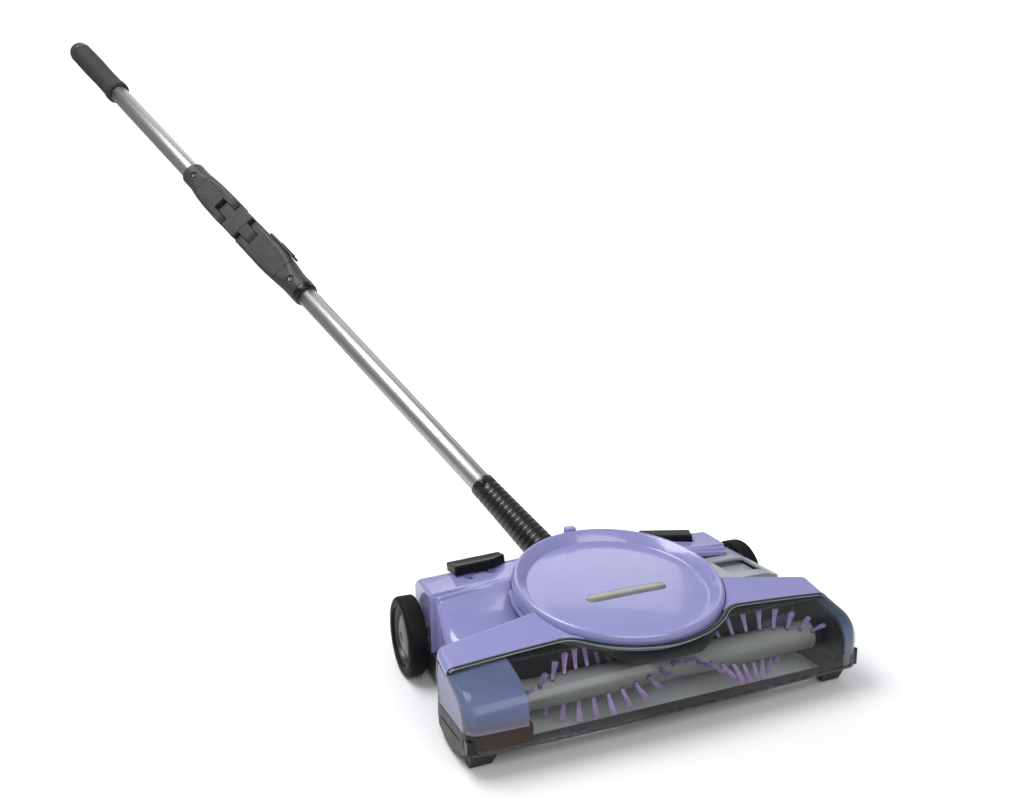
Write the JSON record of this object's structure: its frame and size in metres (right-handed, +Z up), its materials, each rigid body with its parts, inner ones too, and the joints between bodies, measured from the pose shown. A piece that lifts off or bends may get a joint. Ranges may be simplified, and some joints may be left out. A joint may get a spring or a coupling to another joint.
{
  "type": "carpet sweeper",
  "caption": "Cordless carpet sweeper: wide brush head with a clear front window, round cover and side wheels, and a tube handle on a swivelling neck with a fold hinge.",
  "frame": {"origin": "on the floor, under the middle of the whole sweeper's bounding box", "axes": "+X across the head, to the right when it is seen from the front; +Y from the brush window towards the handle; +Z up from the floor"},
  "size_m": [0.573, 0.9752, 0.5921],
  "materials": {
    "purple": "satin",
    "clear": "clear plastic",
    "smoke": "smoked plastic",
    "dark_grey": "fine satin",
    "black_gloss": "gloss",
    "black_rubber": "matte",
    "core_grey": "satin grey",
    "bristle": "nylon tufts",
    "bristle_black": "nylon tufts",
    "aluminium": "satin anodised",
    "steel": "satin",
    "white_plastic": "satin",
    "battery_wrap": "heat-shrink wrap",
    "board_green": "solder resist",
    "lens_green": "tinted lens"
  },
  "bodies": {
    "head": {"base_plate": "dark_grey", "lower_housing": "purple", "top_housing": "purple", "disc_cover": "purple", "window": "clear", "gear_cover": "purple", "end_cap_right": "purple", "neck_bearing": "dark_grey", "brush_bearing_left": "dark_grey", "brush_bearing_right": "dark_grey", "motor": "steel", "drive_belt": "black_rubber", "battery_pack": "battery_wrap", "battery_door": "dark_grey", "circuit_board": "board_green", "charge_jack": "dark_grey", "charge_light": "lens_green", "power_switch": "black_gloss", "speed_switch": "black_gloss", "axle_left": "steel", "axle_right": "steel", "edge_brush_left": "bristle_black", "edge_brush_right": "bristle_black", "rear_flap": "black_rubber"},
    "brush": {"brush_core": "core_grey", "bristle_row_a": "bristle", "bristle_row_b": "bristle", "brush_pulley": "white_plastic"},
    "motor_rotor": {"motor_shaft": "steel", "motor_pulley": "white_plastic"},
    "wheel_left": {"tyre_left": "black_rubber", "hub_left": "dark_grey"},
    "wheel_right": {"tyre_right": "black_rubber", "hub_right": "dark_grey"},
    "roller_left": {"front_roller_left": "black_rubber"},
    "roller_right": {"front_roller_right": "black_rubber"},
    "neck": {"swivel_fork": "dark_grey", "pitch_pin": "steel"},
    "lower_pole": {"neck_yoke": "dark_grey", "neck_sleeve": "black_gloss", "lower_tube": "aluminium", "hinge_lower": "dark_grey", "hinge_pin_lower": "steel", "hinge_screw_lower": "steel"},
    "button": {"tube_button": "steel"},
    "release": {"fold_release": "dark_grey"},
    "link": {"hinge_link": "dark_grey", "hinge_pin_upper": "steel"},
    "upper_pole": {"hinge_upper": "dark_grey", "upper_tube": "aluminium", "grip": "black_rubber", "grip_cap": "dark_grey", "hinge_screw_upper": "steel"},
    "power": {"power_pedal": "black_gloss"},
    "speed": {"speed_pedal": "black_gloss"},
    "cup": {"dust_cup": "smoke", "dust_cup_lid": "smoke"}
  },
  "joints": [
    {"name": "brush_spin", "type": "hinge", "parent": "head", "child": "brush", "pos_m": [0.12993, -0.44027, 0.0314], "axis": [1, 0, 0], "continuous": true},
    {"name": "motor_spin", "type": "hinge", "parent": "head", "child": "motor_rotor", "pos_m": [-0.01407, -0.37077, 0.0265], "axis": [1, 0, 0], "continuous": true},
    {"name": "wheel_left_spin", "type": "hinge", "parent": "head", "child": "wheel_left", "pos_m": [-0.05052, -0.31377, 0.0335], "axis": [1, 0, 0], "continuous": true},
    {"name": "wheel_right_spin", "type": "hinge", "parent": "head", "child": "wheel_right", "pos_m": [0.27838, -0.31377, 0.0335], "axis": [1, 0, 0], "continuous": true},
    {"name": "front_roller_left_spin", "type": "hinge", "parent": "head", "child": "roller_left", "pos_m": [0.01993, -0.39977, 0.007], "axis": [1, 0, 0], "continuous": true},
    {"name": "front_roller_right_spin", "type": "hinge", "parent": "head", "child": "roller_right", "pos_m": [0.19593, -0.39977, 0.007], "axis": [1, 0, 0], "continuous": true},
    {"name": "neck_swivel", "type": "hinge", "parent": "head", "child": "neck", "pos_m": [0.11393, -0.29497, 0.0433], "axis": [0, 1, 0], "range_deg": [-24, 95.8]},
    {"name": "handle_pitch", "type": "hinge", "parent": "neck", "child": "lower_pole", "pos_m": [0.11393, -0.29497, 0.0433], "axis": [0.8105, 0, 0.5858], "range_deg": [-30, 14]},
    {"name": "tube_button_press", "type": "slide", "parent": "lower_pole", "child": "button", "axis": [0.4447, 0.651, -0.6152], "range_m": [0, 0.0025], "stiffness_N_per_m": 1500},
    {"name": "fold_release_slide", "type": "slide", "parent": "lower_pole", "child": "release", "axis": [-0.3814, 0.759, 0.5276], "range_m": [0, 0.008], "stiffness_N_per_m": 200},
    {"name": "fold_lower", "type": "hinge", "parent": "lower_pole", "child": "link", "pos_m": [-0.10193, 0.13464, 0.34194], "axis": [0.7407, -0.0906, 0.6657], "range_deg": [0, 90]},
    {"name": "fold_upper", "type": "hinge", "parent": "link", "child": "upper_pole", "pos_m": [-0.12253, 0.17563, 0.37043], "axis": [0.7407, -0.0906, 0.6657], "range_deg": [0, 90]},
    {"name": "power_pedal_press", "type": "hinge", "parent": "head", "child": "power", "pos_m": [0.0201, -0.29299, 0.08012], "axis": [0.9989, 0, 0.0471], "range_deg": [0, 3.5], "stiffness_Nm_per_rad": 1.2},
    {"name": "speed_pedal_press", "type": "hinge", "parent": "head", "child": "speed", "pos_m": [0.20268, -0.30364, 0.0811], "axis": [0.9361, -0.3518, 0], "range_deg": [0, 3.5], "stiffness_Nm_per_rad": 1.2},
    {"name": "dust_cup_lift", "type": "slide", "parent": "head", "child": "cup", "axis": [0, 0, 1], "range_m": [0, 0.08]}
  ],
  "couplings": [
    {"joint": "motor_spin", "follows": "brush_spin", "ratio": 2}
  ]
}
